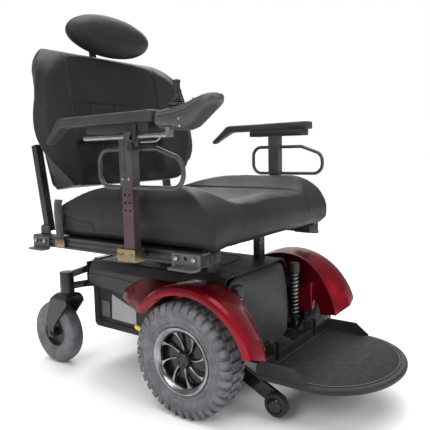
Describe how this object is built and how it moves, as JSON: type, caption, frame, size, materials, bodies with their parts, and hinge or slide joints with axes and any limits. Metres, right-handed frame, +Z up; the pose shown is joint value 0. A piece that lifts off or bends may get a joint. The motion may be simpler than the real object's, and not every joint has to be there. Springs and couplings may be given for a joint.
{
  "type": "power wheelchair",
  "caption": "Heavy-duty power wheelchair with front drive wheels, swivelling rear casters, flip-up footplate, reclining backrest, headrest, armrests and joystick.",
  "frame": {"origin": "centre of the whole chair's footprint, on the floor", "axes": "+Z up, the chair faces -Y, +X is the occupant's left"},
  "size_m": [0.96, 1.351, 1.3301],
  "materials": {
    "frame_black": "satin",
    "plastic_black": "matte",
    "shroud_charcoal": "textured",
    "battery_case": "matte",
    "motor_grey": "satin",
    "lens_red": "gloss",
    "rubber_black": "matte",
    "upholstery": "satin",
    "webbing": "matte",
    "bracket_grey": "satin",
    "zinc": "satin",
    "post_bronze": "satin",
    "chrome": "gloss",
    "pod_grey": "satin",
    "tyre_grey": "matte",
    "rim_silver": "polished",
    "spring_steel": "satin",
    "fender_red": "gloss",
    "lever_yellow": "gloss",
    "post_grey": "satin",
    "arm_pad": "satin"
  },
  "bodies": {
    "chassis": {"base_frame": "frame_black", "caster_arms": "frame_black", "foot_bracket": "frame_black", "seat_posts": "frame_black", "seat_rails": "frame_black", "seat_pan": "frame_black", "shock_bodies": "frame_black", "battery_tray": "plastic_black", "front_shroud": "shroud_charcoal", "rear_shroud": "shroud_charcoal", "batteries": "battery_case", "power_module": "plastic_black", "drive_motors": "motor_grey", "tail_lenses": "lens_red", "seat_cushion": "upholstery", "belt_straps": "webbing", "tiedown_brackets": "bracket_grey", "arm_clamps": "zinc", "arm_sockets": "post_bronze", "fender_right": "fender_red", "fender_left": "fender_red"},
    "drive_wheel_right": {"drive_tyre_right": "tyre_grey", "drive_rim_right": "rim_silver"},
    "caster_swivel_right": {"caster_fork_right": "frame_black"},
    "caster_wheel_right": {"caster_tyre_right": "tyre_grey", "caster_hub_right": "plastic_black"},
    "antitip_right": {"antitip_arm_right": "frame_black"},
    "antitip_wheel_right": {"antitip_wheel_right": "rubber_black"},
    "shock_rod_right": {"shock_rod_right": "frame_black", "shock_spring_right": "spring_steel"},
    "armrest_right": {"arm_post_right": "post_grey", "guard_loop_right": "post_grey", "arm_pad_right": "arm_pad"},
    "freewheel_right": {"freewheel_lever_right": "lever_yellow"},
    "drive_wheel_left": {"drive_tyre_left": "tyre_grey", "drive_rim_left": "rim_silver"},
    "caster_swivel_left": {"caster_fork_left": "frame_black"},
    "caster_wheel_left": {"caster_tyre_left": "tyre_grey", "caster_hub_left": "plastic_black"},
    "antitip_left": {"antitip_arm_left": "frame_black"},
    "antitip_wheel_left": {"antitip_wheel_left": "rubber_black"},
    "shock_rod_left": {"shock_rod_left": "frame_black", "shock_spring_left": "spring_steel"},
    "armrest_left": {"arm_post_left": "post_grey", "guard_loop_left": "post_grey", "arm_pad_left": "arm_pad"},
    "freewheel_left": {"freewheel_lever_left": "lever_yellow"},
    "footplate": {"footplate": "plastic_black", "foot_mat": "rubber_black"},
    "backrest": {"back_frame": "frame_black", "back_cushion": "upholstery"},
    "headrest_mast": {"headrest_post": "frame_black"},
    "headrest": {"headrest_pad": "upholstery"},
    "controller": {"controller_bracket": "chrome", "controller_pod": "pod_grey"},
    "gimbal": {"gimbal_ring": "zinc"},
    "stick": {"joystick": "rubber_black"},
    "power_button": {"power_button": "plastic_black"},
    "horn_button": {"horn_button": "plastic_black"},
    "clamp_lever": {"clamp_lever": "plastic_black"}
  },
  "joints": [
    {"name": "drive_wheel_right_spin", "type": "hinge", "parent": "chassis", "child": "drive_wheel_right", "pos_m": [-0.307, -0.1265, 0.178], "axis": [1, 0, 0], "continuous": true},
    {"name": "caster_swivel_right", "type": "hinge", "parent": "chassis", "child": "caster_swivel_right", "pos_m": [-0.257, 0.4925, 0.281], "axis": [0, 0, 1], "range_deg": [-86, 86]},
    {"name": "caster_wheel_right_spin", "type": "hinge", "parent": "caster_swivel_right", "child": "caster_wheel_right", "pos_m": [-0.257, 0.5565, 0.119], "axis": [1, 0, 0], "continuous": true},
    {"name": "antitip_right_lift", "type": "hinge", "parent": "chassis", "child": "antitip_right", "pos_m": [-0.186, -0.1665, 0.15], "axis": [-1, 0, 0], "range_deg": [0, 5], "stiffness_Nm_per_rad": 150, "springref_deg": -4.58},
    {"name": "antitip_wheel_right_spin", "type": "hinge", "parent": "antitip_right", "child": "antitip_wheel_right", "pos_m": [-0.207, -0.3715, 0.054], "axis": [1, 0, 0], "continuous": true},
    {"name": "shock_right_travel", "type": "slide", "parent": "chassis", "child": "shock_rod_right", "axis": [0, 0, 1], "range_m": [0, 0.006], "deforming": ["shock_spring_right"]},
    {"name": "armrest_right_height", "type": "slide", "parent": "chassis", "child": "armrest_right", "axis": [0, 0, 1], "range_m": [-0.05, 0.05]},
    {"name": "freewheel_right", "type": "hinge", "parent": "chassis", "child": "freewheel_right", "pos_m": [-0.253, 0.0955, 0.196], "axis": [1, 0, 0], "range_deg": [0, 45]},
    {"name": "drive_wheel_left_spin", "type": "hinge", "parent": "chassis", "child": "drive_wheel_left", "pos_m": [0.307, -0.1265, 0.178], "axis": [1, 0, 0], "continuous": true},
    {"name": "caster_swivel_left", "type": "hinge", "parent": "chassis", "child": "caster_swivel_left", "pos_m": [0.257, 0.4925, 0.281], "axis": [0, 0, 1], "range_deg": [-86, 86]},
    {"name": "caster_wheel_left_spin", "type": "hinge", "parent": "caster_swivel_left", "child": "caster_wheel_left", "pos_m": [0.257, 0.5565, 0.119], "axis": [1, 0, 0], "continuous": true},
    {"name": "antitip_left_lift", "type": "hinge", "parent": "chassis", "child": "antitip_left", "pos_m": [0.186, -0.1665, 0.15], "axis": [-1, 0, 0], "range_deg": [0, 5], "stiffness_Nm_per_rad": 150, "springref_deg": -4.58},
    {"name": "antitip_wheel_left_spin", "type": "hinge", "parent": "antitip_left", "child": "antitip_wheel_left", "pos_m": [0.207, -0.3715, 0.054], "axis": [1, 0, 0], "continuous": true},
    {"name": "shock_left_travel", "type": "slide", "parent": "chassis", "child": "shock_rod_left", "axis": [0, 0, 1], "range_m": [0, 0.006], "deforming": ["shock_spring_left"]},
    {"name": "armrest_left_height", "type": "slide", "parent": "chassis", "child": "armrest_left", "axis": [0, 0, 1], "range_m": [-0.05, 0.05]},
    {"name": "freewheel_left", "type": "hinge", "parent": "chassis", "child": "freewheel_left", "pos_m": [0.253, 0.0955, 0.196], "axis": [1, 0, 0], "range_deg": [0, 45]},
    {"name": "footplate_flip", "type": "hinge", "parent": "chassis", "child": "footplate", "pos_m": [0, -0.3065, 0.2], "axis": [-1, 0, 0], "range_deg": [0, 90]},
    {"name": "backrest_recline", "type": "hinge", "parent": "chassis", "child": "backrest", "pos_m": [0, 0.47634, 0.53297], "axis": [-1, 0, 0], "range_deg": [0, 25]},
    {"name": "headrest_height", "type": "slide", "parent": "backrest", "child": "headrest_mast", "axis": [0, 0.1564, 0.9877], "range_m": [0, 0.06]},
    {"name": "headrest_tilt", "type": "hinge", "parent": "headrest_mast", "child": "headrest", "pos_m": [0, 0.5715, 1.22966], "axis": [-1, 0, 0], "range_deg": [0, 15]},
    {"name": "controller_slide", "type": "slide", "parent": "armrest_right", "child": "controller", "axis": [0, -1, 0], "range_m": [0, 0.08]},
    {"name": "joystick_fore_aft", "type": "hinge", "parent": "controller", "child": "gimbal", "pos_m": [-0.438, -0.2215, 0.906], "axis": [1, 0, 0], "range_deg": [-15, 15], "stiffness_Nm_per_rad": 0.4},
    {"name": "joystick_side", "type": "hinge", "parent": "gimbal", "child": "stick", "pos_m": [-0.438, -0.2215, 0.906], "axis": [0, 1, 0], "range_deg": [-15, 15], "stiffness_Nm_per_rad": 0.4},
    {"name": "power_button_press", "type": "slide", "parent": "controller", "child": "power_button", "axis": [0, 0, -1], "range_m": [0, 0.0015], "stiffness_N_per_m": 400, "springref_m": -0.001},
    {"name": "horn_button_press", "type": "slide", "parent": "controller", "child": "horn_button", "axis": [0, 0, -1], "range_m": [0, 0.0015], "stiffness_N_per_m": 400, "springref_m": -0.001},
    {"name": "clamp_lever_turn", "type": "hinge", "parent": "armrest_right", "child": "clamp_lever", "pos_m": [-0.466, -0.0805, 0.813], "axis": [0, 0, 1], "range_deg": [-80, 30]}
  ],
  "couplings": [
    {"joint": "shock_right_travel", "follows": "antitip_right_lift", "m_per_rad": 0.061},
    {"joint": "shock_left_travel", "follows": "antitip_left_lift", "m_per_rad": 0.061}
  ]
}
